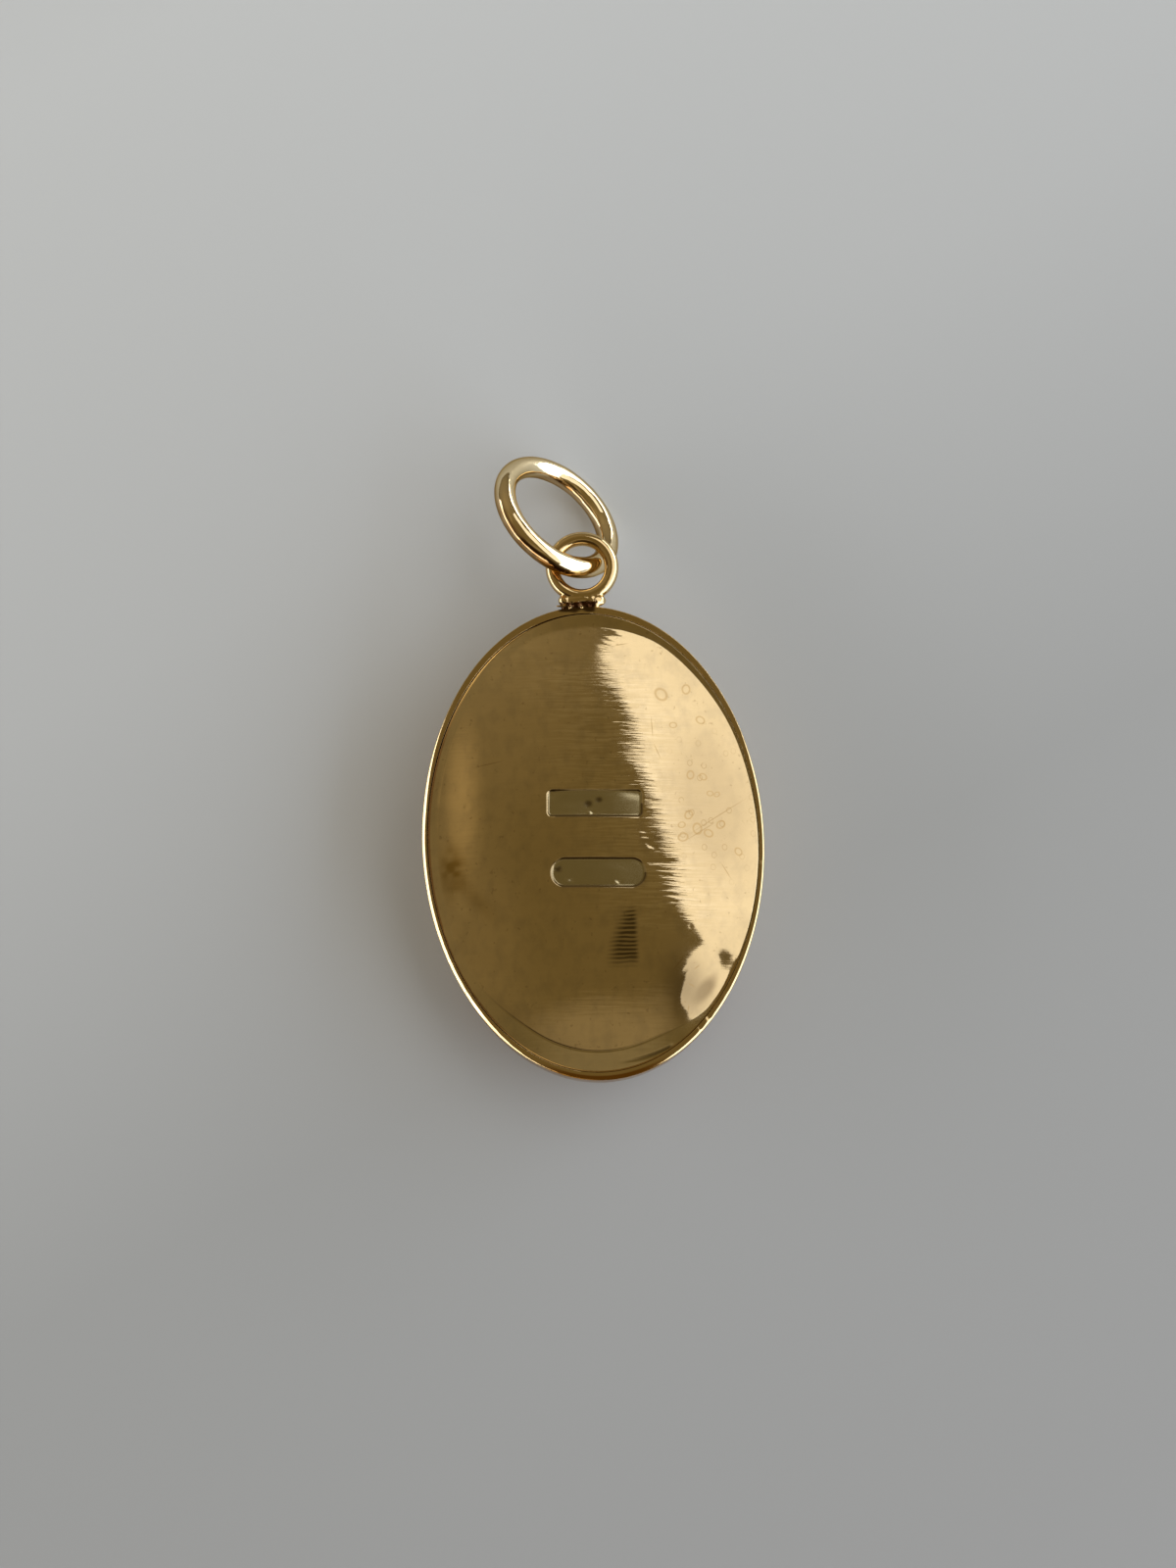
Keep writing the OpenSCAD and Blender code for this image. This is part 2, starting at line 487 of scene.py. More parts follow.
places, faces = spin(shell_section, SHELL_TURNS)
x, y, z = places.T
rho = np.maximum(np.hypot(x, y / STRETCH), 0.01)
around = np.degrees(np.arctan2(y / STRETCH, x))
one_row = rho * 0  # keeps the noise below to one row of its grid
on_lip = fade(z, 3.75, LIP_TOP - 0.08) * (rho > LIP_IN - 0.05)
steepness = np.maximum(np.hypot(x, y / STRETCH ** 2) / rho, 0.5)
rubbed_width = np.maximum(rho - BODY_HALF + around_oval(CHAMFER, around, 3), 0)
rubbed_off = rubbed_width * CHAMFER_SLOPE / steepness
worn = 0.008 * (1 + uneven(3, around / 9, one_row))
worn = worn + 0.003 * (1 + uneven(4, around / 2.5, one_row))
for middle, half, depth in NICKS:
    off = (around - middle + 180) % 360 - 180
    worn = worn + depth * bell(off, half)
z = z - on_lip * (worn + rubbed_off)
outer_wall = fade(z, 0.5, 1.5) * (rho > BODY_HALF - SHEET / 2)
pull = 0.02 * outer_wall * (1 + uneven(5, around / 14, z * 0.4)) / 2
x, y = x * (1 - pull / BODY_HALF), y * (1 - pull / BODY_HALF)
shell_places = np.stack([x, y, z], axis=1)
front_shell = piece_from("front_shell_sheet", shell_places, faces, "shell_gold", "front_shell")

# %% [markdown]
# ## The back plate
# The back is a shallow dome that runs into a narrow flat border. It was worked and
# damaged: two sunk fields struck with a punch, fine ripples from straightening,
# and dents at the lower right. Bump alone can't do this, because in polished gold
# a dent shows by bending the reflection, so the dents are pushed into a fine mesh.

# %% Size of the dome
PLATE_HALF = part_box("back_plate")[1][0] / MM
CROWN_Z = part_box("back_plate")[1][2] / MM
PLATE_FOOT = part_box("back_plate")[0][2] / MM
BORDER = 0.6  # width of the flat border round the dome
BORDER_Z = PLATE_FOOT + SHEET
DOME_FOOT = PLATE_HALF - BORDER
DOME_RISE = CROWN_Z - BORDER_Z
dome_r = (DOME_FOOT ** 2 + DOME_RISE ** 2) / (2 * DOME_RISE)
dome_z = CROWN_Z - dome_r


def dome_height(r, radius=dome_r):
    """Height of the dome over the flat front at radius r of the round section."""
    return dome_z + np.sqrt(radius ** 2 - r ** 2)


print("dome radius", round(dome_r, 2), "mm")

# %% Section of the back plate
FINE_R = 5.6  # the fine rings end here, past the sunk fields and the ripples
FILLET = 0.01  # how soft the corner between the dome and its border is
EDGE_ROUND = 0.04
corner_rows = np.linspace(DOME_FOOT - 0.15, DOME_FOOT + 0.15, 13)
rows = [np.linspace(0, FINE_R, 113), np.linspace(FINE_R, DOME_FOOT - 0.17, 42)[1:], corner_rows]
rows = np.concatenate(rows + [np.linspace(DOME_FOOT + 0.17, PLATE_HALF - 0.05, 14)])
rise = dome_height(rows) - BORDER_Z
rise = (rise + np.sqrt(rise ** 2 + 4 * FILLET ** 2)) / 2
plate_section = list(zip(rows, BORDER_Z + rise - FILLET ** 2))
plate_section += arc((PLATE_HALF - EDGE_ROUND, BORDER_Z - EDGE_ROUND), EDGE_ROUND, 90, 0, 5)
top_rows = len(plate_section)
plate_section += [(PLATE_HALF, PLATE_FOOT + 0.1), (PLATE_HALF, PLATE_FOOT)]
under_r = DOME_FOOT - 0.4
plate_section += [(under_r + 0.4, PLATE_FOOT), (under_r, PLATE_FOOT)]
plate_section += [(r, dome_height(r, dome_r - SHEET)) for r in np.linspace(under_r - 0.4, 0, 12)]
print("rows in the plate's section:", len(plate_section))

# %% [markdown]
# ## Bringing the dome to its border
# On the real plate the border isn't even: it is widest at the bottom, and it runs
# out at the lower right. A mask could fade the dome down there, but the corner
# would blur, so the rings of points are pulled in or out to follow its foot.

# %% Spin the plate and move the foot of its dome
PLATE_TURNS = 480
FOOT_AT = [  # degrees round the oval, radius at which the dome meets its border
    (0, 9.6), (13, 9.53), (25, 9.52), (36, 9.42), (46, 9.31), (66, 9.3), (78, 9.12),
    (90, 9.08), (105, 9.15), (120, 9.2), (161, 9.14), (181, 9.1), (192, 9.1), (205, 9.25),
    (215, 9.2), (237, 8.82), (264, 8.82), (285, 8.78), (293, 8.87), (300, 9.1), (306, 9.38),
    (313, 9.54), (321, 9.6), (341, 9.6), (349, 9.6),
]
places, faces = spin(plate_section, PLATE_TURNS)
x, y, z = places.T
rho = np.hypot(x, y / STRETCH)
around = np.degrees(np.arctan2(y / STRETCH, x))
foot_at = around_oval(FOOT_AT, around)
past_foot = foot_at + (rho - DOME_FOOT) * (PLATE_HALF - foot_at) / BORDER
wider = np.where(rho <= DOME_FOOT, rho * foot_at / DOME_FOOT, past_foot)
grow = wider / np.maximum(rho, 1e-9)
x, y, rho = x * grow, y * grow, wider
on_top = np.zeros(len(places))
on_top[:(top_rows - 1) * PLATE_TURNS] = 1
on_top[-2] = 1  # the middle of the dome
inland = on_top * (1 - fade(rho, foot_at - 0.1, foot_at + 0.1))
print("the dome's foot lies from", round(foot_at.min(), 2), "to", round(foot_at.max(), 2), "mm out")

# %% [markdown]
# ## The two sunk fields
# A punch sank two shallow fields, one with square ends and one with round ends,
# a little askew. A boolean cut would leave knife edges, so their shape is a smooth
# step in height instead. Three small pits lie in their floors.

# %% Strike the sunk fields
HAND = math.radians(-2.75)  # the fields and the polishing marks lie turned by this much
STAMP_DEPTH = 0.09
STAMP_WALL = 0.2
PITS = [((-0.19, 1.87), 0.2, 0.025), ((0.44, 2.07), 0.17, 0.02), ((-2.1, -1.85), 0.2, 0.05)]


def along_hand(x, y):
    """The same place along and across the direction in which the back was worked."""
    return x * math.cos(HAND) + y * math.sin(HAND), y * math.cos(HAND) - x * math.sin(HAND)


def field_shape(p, q, middle, width, height, corner):
    """1 inside a field with rounded corners, 0 outside, with a wall between them."""
    dp = np.abs(p - middle[0]) - (width / 2 - corner)
    dq = np.abs(q - middle[1]) - (height / 2 - corner)
    outside = np.hypot(np.maximum(dp, 0), np.maximum(dq, 0))
    edge = outside + np.minimum(np.maximum(dp, dq), 0) - corner
    return 1 - fade(edge, -STAMP_WALL / 2, STAMP_WALL / 2)


def dimple(x, y, middle, size, turn, depth):
    """Smooth hollow: a bell of this size and depth, turned from +X toward +Y in degrees."""
    c, s = math.cos(math.radians(turn)), math.sin(math.radians(turn))
    u = ((x - middle[0]) * c + (y - middle[1]) * s) / size[0]
    v = ((y - middle[1]) * c - (x - middle[0]) * s) / size[1]
    return -depth * np.exp(-(u * u + v * v))


UPPER = along_hand(0.19, 1.9)
LOWER = along_hand(0.21, -2.15)
print("middles of the fields:", np.round(UPPER, 2), np.round(LOWER, 2))

# %% Height of the fields and their pits
p, q = along_hand(x, y)
upper_field = field_shape(p, q, UPPER, width=5.43, height=1.52, corner=0.25)
lower_field = field_shape(p, q, LOWER, width=5.4, height=1.62, corner=0.78)
fields = np.maximum(upper_field, lower_field)
sunk = -STAMP_DEPTH * fields + 0.02 * uneven(11, p * 0.8, q * 2) * fields
for middle, size, depth in PITS:
    sunk = sunk + dimple(x, y, middle, (size, size * 0.8), 20, depth)
print("deepest place in the fields:", round(-sunk.min(), 3), "mm")

# %% [markdown]
# ## Ripples along the rubbed line
# Where the plate was rubbed flat again, the window's reflection ends in a ragged
# edge. That edge is hundredths of a millimetre of slope and fine streaks across
# it. A painted edge would stay put when the view changes, so it is real relief.

# %% Ripple the rubbed line
RUBBED = [  # y, x of the line where the plate was rubbed, how much steeper it is there
    (12.5, 0.5, -0.005), (10.8, 0.95, 0.0), (9.6, 1.2, 0.007), (8.5, 1.6, 0.003),
    (7.1, 2.5, -0.014), (5.7, 2.8, -0.010), (4.4, 2.7, 0.012), (3.05, 3.4, 0.001),
    (1.8, 3.6, 0.006), (0.0, 4.0, 0.007), (-1.5, 4.5, 0.003), (-3.0, 4.65, 0.016),
    (-4.6, 5.1, 0.012), (-5.6, 5.5, -0.01), (-6.7, 6.0, -0.055), (-7.4, 5.7, -0.05),
    (-8.2, 5.7, 0.0),
]
COMB_STEP = 0.37  # millimetres from one tooth of the comb to the next


def along_y(table, column, y):
    """Smooth value at each y, from a column of a table whose first column is y."""
    every = np.arange(-15, 15, 0.025)
    rows = sorted(table)
    flat = np.interp(every, [row[0] for row in rows], [row[column] for row in rows])
    window = np.exp(-(np.arange(-40, 41) / 14) ** 2)
    soft = np.convolve(np.pad(flat, 40, mode="edge"), window / window.sum(), mode="valid")
    return np.interp(y, every, soft)


def spot(x, y, middle, size):
    """Round bell over the back, 1 at its middle."""
    return np.exp(-(((x - middle[0]) / size[0]) ** 2) - ((y - middle[1]) / size[1]) ** 2)


beside = x - along_y(RUBBED, 1, y)  # how far to the right of the rubbed line
rubbed = -along_y(RUBBED, 2, y) * beside * bell(beside, 1.6)
band = bell(beside, 1.3) * fade(y, -2.2, -1.2) * (1 - fade(y, 7.2, 8.2))
fine_depth = 0.0022 - 0.0012 * fade(y, 2.5, 4)
broad_streaks = 0.0012 * uneven(43, p * 0.7, q * 3.5) * band
streaked = fine_depth * uneven(41, p * 0.8, q * 7.5) * band + broad_streaks
near_top = spot(x, y, (2.0, 12.2), (2.6, 1.1))
streaked = streaked + 0.009 * uneven(44, p * 0.9 - q * 0.5, q * 6 + p * 2.4) * near_top
in_comb = bell(p - 4.15, 0.7, 4) * fade(-q, 1.7, 2.1) * (1 - fade(-q, 3.9, 4.6))
teeth = q + 0.06 * uneven(14, p * 1.2, q * 1.4)
comb = 0.003 * np.sin(2 * np.pi * teeth / COMB_STEP) * in_comb
print("streaks up to", round(np.abs(streaked * inland).max(), 4), "mm high")

# %% [markdown]
# ## Dents and small blows
# A hollow charm dents easily. Dents could be sculpted by hand, but as rows of
# numbers they can be moved one by one. Each blow is a smooth bell pressed into the
# sheet; two side by side, one in and one out, make a small fold. One large bell
# pushes in the whole lower right, where the light breaks into a lobe.

# %% Dent the dome
BLOWS = [  # middle, half sizes, turn in degrees, depth
    ((5.7, -8.95), (1.15, 0.5), 45, 0.06), ((6.6, -7.3), (1.05, 0.8), 25, 0.088),
    ((3.45, -1.68), (1.1, 0.15), -3, 0.018), ((2.95, 0.1), (0.25, 0.06), -3, 0.012),
    ((3.05, -0.2), (0.3, 0.07), -3, 0.014), ((3.3, -0.75), (0.3, 0.1), -30, 0.014),
    ((5.35, -5.5), (0.06, 0.06), 0, 0.012), ((-7.31, 2.16), (0.12, 0.09), 0, 0.012),
    ((-1.61, -2.52), (0.14, 0.07), -3, -0.03), ((-1.37, -2.53), (0.14, 0.07), -3, 0.03),
    ((1.13, -2.76), (0.14, 0.07), -3, -0.03), ((1.37, -2.77), (0.14, 0.07), -3, 0.03),
    ((-0.16, 1.34), (0.12, 0.05), -3, -0.025), ((0.05, 1.33), (0.12, 0.05), -3, 0.025),
    ((4.9, -8.0), (0.9, 0.05), 50, 0.006), ((3.85, -11.75), (0.045, 0.45), 0, 0.01),
]
wavy = 0.003 * uneven(12, x * 0.35, y * 0.3) + 0.0012 * uneven(13, x * 1.1, y * 1.0)
for blow in BLOWS:
    wavy = wavy + dimple(x, y, *blow)
crushed = dimple(x, y, (7.2, -9.9), (2.2, 3.2), -20, 0.35)
print(len(BLOWS), "blows, and the lower right pushed in by", round(-crushed.min(), 2), "mm")

# %% [markdown]
# ## The border, its groove and a crack
# The border falls off to the outside at the left and at the bottom. A groove runs
# along the foot of the dome at the bottom, and at the lower right it has opened
# into a crack. A cut through the mesh would show the inside, so both are thin
# bells in height.

# %% Press everything into the plate
at_bottom = around_oval([(0, 0), (215, 0), (240, 1), (292, 1), (310, 0)], around)
FALLS = [(0, 0), (92, 0), (115, 1), (228, 1), (245, 0.85), (292, 0.85), (312, 0)]
foot_slope = DOME_FOOT / math.sqrt(dome_r ** 2 - DOME_FOOT ** 2)
beyond = rho - foot_at
beyond = (beyond + np.hypot(beyond, 2 * FILLET / foot_slope)) / 2
fallen = -foot_slope * beyond * around_oval(FALLS, around)
turned = around % 360
crack_at = np.interp(turned, (274, 296), (9.28, 9.58))
crack = fade(turned, 273, 291) * (1 - fade(turned, 293.5, 294.5)) * bell(rho - crack_at, 0.05)
groove = at_bottom * bell(rho - foot_at - 0.02 * uneven(15, around / 11, rho * 0), 0.03)
worked = inland * (sunk + wavy + rubbed + streaked + comb)
z = z + worked + on_top * (crushed + fallen - 0.008 * groove - 0.03 * crack)
plate_places = np.stack([x, y, z], axis=1)
back_plate = piece_from("back_plate_sheet", plate_places, faces, "plate_gold", "back_plate")

# %% [markdown]
# ## Where shade and dullness sit
# Some of the finish belongs to places on the surface: the floors of the sunk fields
# are dull, and the recesses are painted dark. A painted mask could hold this, but a
# number stored at each point of the mesh is exact and moves with it. The material
# reads it by name. Here: painted shade in the walls of the fields, most of all the
# lower ones, in the pits, in the groove and in the crack, and "dull" on the floors
# and on the border.

# %% Store the painted shade and the dull places
field_wall = 4 * fields * (1 - fields)
below_middle = np.where(q > 0, q < UPPER[1], q < LOWER[1])
left_end = p < UPPER[0] - 2.3
left_wall_shade = np.where(q > 0, fade(fields, 0.2, 0.45), 0.9)
wall_shade = np.where(left_end, left_wall_shade, np.where(below_middle, 1.0, 0.15))
recess_shade = field_wall ** 0.4 * wall_shade * inland
for middle, size, depth in PITS:
    far = np.hypot(x - middle[0], (y - middle[1]) * 1.2)
    recess_shade = np.maximum(recess_shade, 0.85 * bell(far / size, 1.2, 4) * inland)
recess_shade = np.maximum(recess_shade, np.maximum(0.28 * groove, 0.95 * crack) * on_top)
store(back_plate, "recess_shade", recess_shade)
store(back_plate, "dull", fields * inland + (on_top - inland) * (0.15 + 0.3 * at_bottom))

# %% [markdown]
# ## Tool marks, and painted reflection and shade
# The same way holds four more places: "rough" is the patch of even tool lines
# below the lower field, then a brown painted reflection at the left with a darker
# trail of painted reflection running from it, then painted shade over the dented
# lobe, and "brushed" the wide band of fine polishing hairs along the rubbed line.

# %% Store the worked, painted and brushed places
left_side = np.interp(y, (-7.6, -6.2, -4.1), (0.25, 0.5, 1.4))
rough_patch = fade(x - left_side, -0.1, 0.8) * (1 - fade(x, 2.05, 2.4))
rough_patch = rough_patch * fade(-y, 4.0, 4.6) * (1 - fade(-y, 6.9, 7.9))
store(back_plate, "rough", rough_patch * inland)
left_band = spot(x, y, (-8.2, -1.45), (0.75, 1.25)) * (0.95 + 0.5 * uneven(53, x * 2.5, y * 3.5))
trail = -dimple(x, y, (-6.9, -3.3), (1.5, 0.45), -52, 0.4)
store(back_plate, "brown_reflection", np.clip(left_band + trail, 0, 1) * inland)
store(back_plate, "dent_shade", np.minimum(spot(x, y, (4.9, -9.0), (1.5, 1.9)) * inland, 1))
brushed = bell(beside + 1.4, 3.0) * fade(y, -6.5, -4) * (1 - fade(y, 9, 12))
store(back_plate, "brushed", brushed * inland * (1 - fields))

# %% [markdown]
# ## Round wire
# The loop and the jump ring are turns of round wire. Blender's torus would do for
# a perfect one, but the wire's thickness has to change a little from place to
# place, so the points of the ring are worked out here.

# %% Wire ring points
def wire_ring(middle, radius, wire, turns, sides, normal=(0, 0, 1), wear=None):
    """Places and faces of a round wire ring around an axis."""
    normal = Vector(normal).normalized()
    first = normal.orthogonal().normalized()
    second = normal.cross(first)
    t = np.linspace(0, 2 * np.pi, turns, endpoint=False)[:, None]
    s = np.linspace(0, 2 * np.pi, sides, endpoint=False)[None, :]
    thick = wire / 2 * np.ones((turns, sides)) if wear is None else wire / 2 * wear(t, s)
    out = radius + thick * np.cos(s)
    up = thick * np.sin(s)
    spoke = np.cos(t)[..., None] * np.array(first) + np.sin(t)[..., None] * np.array(second)
    place = out[..., None] * spoke
    place = place + up[..., None] * np.array(normal) + np.array(middle)
    row, col = np.meshgrid(np.arange(turns), np.arange(sides), indexing="ij")
    a = row * sides + col
    b = (row + 1) % turns * sides + col
    c = (row + 1) % turns * sides + (col + 1) % sides
    d = row * sides + (col + 1) % sides
    return place.reshape(-1, 3), np.stack([a, b, c, d], axis=-1).reshape(-1, 4).tolist()


LOOP_MIDDLE = (0.15, 16.5, 4.0)
LOOP_R = 1.76
LOOP_WIRE = 0.84
loop_places, loop_faces = wire_ring(LOOP_MIDDLE, LOOP_R, LOOP_WIRE, 160, 40)
print("points in the loop's wire:", len(loop_places))

# %% [markdown]
# ## The hanging loop and its solder
# The loop is round wire, and the solder that holds it ran into a rough foot. The
# real joint has no seams, so the wire and the drops are fused with a voxel remesh
# and then smoothed. The remesh works at full size in millimetres, because its
# smallest step in metres would be too coarse for a jewel.

# %% Put the wire and the drops of solder together
DROPS = [  # place in x and y, height, half sizes, tilt toward +X: the foot that the solder makes
    (0.05, 14.5, 4.02, 1.25, 0.42, 0.41, 0), (-0.95, 14.5, 4.0, 0.42, 0.36, 0.38, 0),
    (1.08, 14.42, 4.03, 0.36, 0.34, 0.4, 0), (1.14, 14.38, 4.26, 0.40, 0.30, 0.11, 33),
    (0.33, 14.68, 4.3, 0.34, 0.17, 0.09, 16), (-0.85, 14.0, 4.2, 0.36, 0.34, 0.3, 0),
    (-0.25, 14.03, 4.22, 0.34, 0.34, 0.3, 0), (0.35, 14.0, 4.2, 0.36, 0.34, 0.3, 0),
    (0.8, 14.05, 4.18, 0.3, 0.3, 0.3, 0), (-0.67, 13.95, 4.48, 0.1, 0.09, 0.09, 0),
    (0.03, 13.92, 4.48, 0.09, 0.09, 0.09, 0), (-1.2, 14.1, 4.36, 0.34, 0.07, 0.1, 0),
]
blob = bmesh.new()
loop_verts = [blob.verts.new(v) for v in loop_places]
for face in loop_faces:
    blob.faces.new([loop_verts[i] for i in face])
for cx, cy, cz, sx, sy, sz, turn in DROPS:
    made = bmesh.ops.create_icosphere(blob, subdivisions=4, radius=1)
    c, n = math.cos(math.radians(turn)), math.sin(math.radians(turn))
    for v in made["verts"]:
        flat_x, flat_z = v.co.x * sx, v.co.z * sz
        v.co = Vector((cx + flat_x * c + flat_z * n, cy + v.co.y * sy, cz + flat_z * c - flat_x * n))
loop_mesh = bpy.data.meshes.new("loop_rough")
blob.to_mesh(loop_mesh)
blob.free()
print("wire and", len(DROPS), "drops:", len(loop_mesh.vertices), "points")

# %% Fuse the loop with its solder
rough_loop = bpy.data.objects.new("loop_rough", loop_mesh)
bpy.context.scene.collection.objects.link(rough_loop)
fuse = rough_loop.modifiers.new("fuse", "REMESH")
fuse.mode = "VOXEL"
fuse.voxel_size = 0.032  # millimetres here
soften = rough_loop.modifiers.new("soften", "SMOOTH")
soften.factor = 0.6
soften.iterations = 8
bpy.context.view_layer.update()
ready = rough_loop.evaluated_get(bpy.context.evaluated_depsgraph_get())
fused = ready.to_mesh()
loop_places = np.array([v.co[:] for v in fused.vertices])
loop_faces = [tuple(f.vertices) for f in fused.polygons]
ready.to_mesh_clear()
bpy.data.objects.remove(rough_loop)
bpy.data.meshes.remove(loop_mesh)
print("fused into", len(loop_places), "points")

# %% [markdown]
# ## The rough foot
# Solder that was not filed keeps small lumps. A displace modifier with a texture
# could raise them, but only the foot is rough and the wire stays smooth, so the
# points near the joint are pushed up and down by seeded noise.

# %% Roughen the foot of the loop
foot = 1 - fade(loop_places[:, 1], 14.7, 15.2)
lumps = 0.022 * uneven(21, loop_places[:, 0] * 4.5, loop_places[:, 1] * 4.5)
lumps = lumps * uneven(22, loop_places[:, 2] * 4.5, loop_places[:, 0] * 3)
loop_places[:, 2] = loop_places[:, 2] + foot * lumps * np.sign(loop_places[:, 2] - LOOP_MIDDLE[2])
loop_places[:, 1] = loop_places[:, 1] + foot * lumps
hanging_loop = piece_from("hanging_loop", loop_places, loop_faces, "shell_gold", "front_shell")

# %% [markdown]
# ## Shade in the joint
# The crevice at the joint is painted dark: painted shade in the gap between the
# foot of the loop and the lip. A few small grains keep the gold's colour. The dark
# place crosses from the loop to the shell, so one function of the place on the
# charm marks both pieces, and they match at the seam.

# %% Paint shade into the joint
GRAINS = [(-0.67, 13.93), (0.03, 13.9), (-1.3, 14.15), (-1.05, 14.15)]
GRAIN = 0.11


def crevice_shade(x, y):
    """1 in the crevice of the rough joint, where shade is painted."""
    x, y = x + 0.16 * uneven(25, x * 2.3, y * 2.3), y + 0.14 * uneven(26, x * 2.3, y * 2.3)
    across = fade(x, -1.35, -1.15) * (1 - fade(x, 0.8, 0.95))
    return across * fade(y, 13.6, 13.75) * (1 - fade(y, 14.3, 14.42))


loop_x, loop_y = loop_places[:, 0], loop_places[:, 1]
unshaded = np.zeros(len(loop_places))
for cx, cy in GRAINS:
    unshaded = np.maximum(unshaded, np.exp(-((loop_x - cx) ** 2 + (loop_y - cy) ** 2) / GRAIN ** 2))
store(hanging_loop, "recess_shade", crevice_shade(loop_x, loop_y) * (1 - unshaded))

# %% [markdown]
# ## Painted shade on the shell
# The wall under the lip is painted reddish and darker, most of all at the lower end,
# and so is the low lip there: painted shade, warm with the light that the gold
# throws back and forth in the gap over the table. The lip's inner wall at the
# left, in the seam with the plate, and the crevice at the joint are painted dark:
# painted shade. Both follow from the place of each point, so nothing has to be
# painted by hand.

# %% Store the shell's painted shade
shell_x, shell_y, shell_z = (np.array([v.co[:] for v in front_shell.data.vertices]) / MM).T
at_foot = 0.45 + 0.55 * fade(-shell_y, 5, 10)
warm_shade = at_foot * (1 - fade(shell_z, 4.0, 4.3))
out_there = np.hypot(shell_x, shell_y / STRETCH)
low_lip = fade(-shell_y, 12.6, 13.6) * fade(out_there, BODY_HALF - 0.22, BODY_HALF - 0.16)
store(front_shell, "warm_shade", np.maximum(warm_shade, 0.9 * low_lip))
SEAM_SHADE = [(0, 0), (130, 0), (150, 1), (232, 1), (245, 0)]
seam = (1 - fade(out_there, LIP_IN + 0.004, LIP_IN + 0.03)) * fade(shell_z, 4.0, 4.1)
seam = seam * around_oval(SEAM_SHADE, np.degrees(np.arctan2(shell_y / STRETCH, shell_x)))
store(front_shell, "recess_shade", 0.9 * np.maximum(seam, crevice_shade(shell_x, shell_y)))

# %% [markdown]
# ## The jump ring
# A jump ring is a turn of round wire, closed through the loop. It was cut from a
# coil and soldered, so the wire is not perfectly even. It leans on the loop with
# its low side on the table. The side turned away from the light is painted darker:
# painted shade, which is stored as a number again.

# %% Make the jump ring
RING_R = 3.75
RING_WIRE = 1.3
ring_low, ring_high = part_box("jump_ring")
ring_middle = [(a + b) / 2 / MM for a, b in zip(ring_low, ring_high)]
tilt, lean = math.radians(44.7), math.radians(33)
ring_axis = (math.sin(tilt) * math.cos(lean), math.sin(tilt) * math.sin(lean), math.cos(tilt))


def ring_wear(t, s):
    """Wire a little thinner in places, where it was bent and filed."""
    broad = 1 + uneven(31, t * 4 + s * 0, s * 1.2 + t * 0)
    small = 1 + uneven(32, t * 14 + s * 0, s * 3 + t * 0)
    return 1 - 0.012 * broad - 0.004 * small


places, faces = wire_ring(ring_middle, RING_R, RING_WIRE, 420, 64, ring_axis, ring_wear)
jump_ring = piece_from("jump_ring_wire", places, faces, "ring_gold", "jump_ring")

# %% Store the ring's painted shade
axis = np.array(ring_axis)
spoke = places - np.array(ring_middle)
in_plane = spoke - (spoke @ axis)[:, None] * axis
middle_line = in_plane / np.linalg.norm(in_plane, axis=1)[:, None] * RING_R
facing = (spoke - middle_line) / (RING_WIRE / 2)
outward = fade(-facing @ np.array([0.75, 0.66, 0]), 0.15, 0.5)
deeper = 0.6 + 0.4 * fade(-middle_line @ np.array([0.55, 0.83, 0]), 1.2, 2.6)
patchy = 0.8 + 0.2 * uneven(61, places[:, 0] * 2, places[:, 1] * 2)
store(jump_ring, "warm_shade", outward * deeper * patchy)

# %% [markdown]
# ## Gold
# Gold is all reflection: the Principled shader with Metallic 1, a warm base colour
# and a low roughness. What makes it look real is small: fine polishing scratches,
# slight haze that changes the roughness from place to place, and dull or dirty
# spots. They are made from noise in the charm's own coordinates, in millimetres.

# %% Noise and relief
def laid_out(tree, in_mm, size, middle=(0, 0, 0), turn=0.0, way="TEXTURE"):
    """Place on the charm as seen from a middle, with a turn and a size for each axis."""
    place = tree.nodes.new("ShaderNodeMapping")
    place.vector_type = way
    for name, value in (("Location", middle), ("Rotation", (0, 0, turn)), ("Scale", size)):
        place.inputs[name].default_value = value
    tree.links.new(in_mm, place.inputs["Vector"])
    return place.outputs[0]


def noise(tree, in_mm, scale, detail, turn=0.0):
    """Noise stretched by a scale for each axis, in cells for each millimetre."""
    place = laid_out(tree, in_mm, [1 / s for s in scale], turn=turn)
    texture = tree.nodes.new("ShaderNodeTexNoise")
    texture.inputs["Scale"].default_value = 1
    texture.inputs["Detail"].default_value = detail
    tree.links.new(place, texture.inputs["Vector"])
    return texture.outputs["Factor" if "Factor" in texture.outputs else "Fac"]


def relief(tree, shader, heights):
    """Bump from (height output, depth in mm) pairs, one on top of the other."""
    before = None
    for height, depth in heights:
        bump = tree.nodes.new("ShaderNodeBump")
        bump.inputs["Strength"].default_value = 1
        bump.inputs["Distance"].default_value = depth * MM
        tree.links.new(height, bump.inputs["Height"])
        if before:
            tree.links.new(before.outputs[0], bump.inputs["Normal"])
        before = bump
    tree.links.new(before.outputs[0], shader.inputs["Normal"])


print("relief depths are given in units of", MM, "m")

# %% [markdown]
# ## Layers of colour
# Dirt, film, wear and painted shade lie over the gold in thin layers. Separate
# materials would end at hard edges, so each layer is mixed into the one colour
# instead, where a mask says. The mask can be noise, a shape or a number stored on
# the mesh.

# %% Masks and layers
def maths(tree, operation, *values):
    """Result of a maths node."""
    return fed_node(tree, "ShaderNodeMath", operation, values).outputs[0]


def stored(tree, name):
    """The number kept on the mesh under this name."""
    node = tree.nodes.new("ShaderNodeAttribute")
    node.attribute_name = name
    return node.outputs["Fac"]


def laid_over(tree, below, above, mask, amount=1.0):
    """Colour `above` laid over `below` where the mask is 1."""
    return mixed(tree, below, above, maths(tree, "MULTIPLY", mask, amount))


print("masks on the plate:", [a.name for a in back_plate.data.attributes if a.data_type == "FLOAT"])
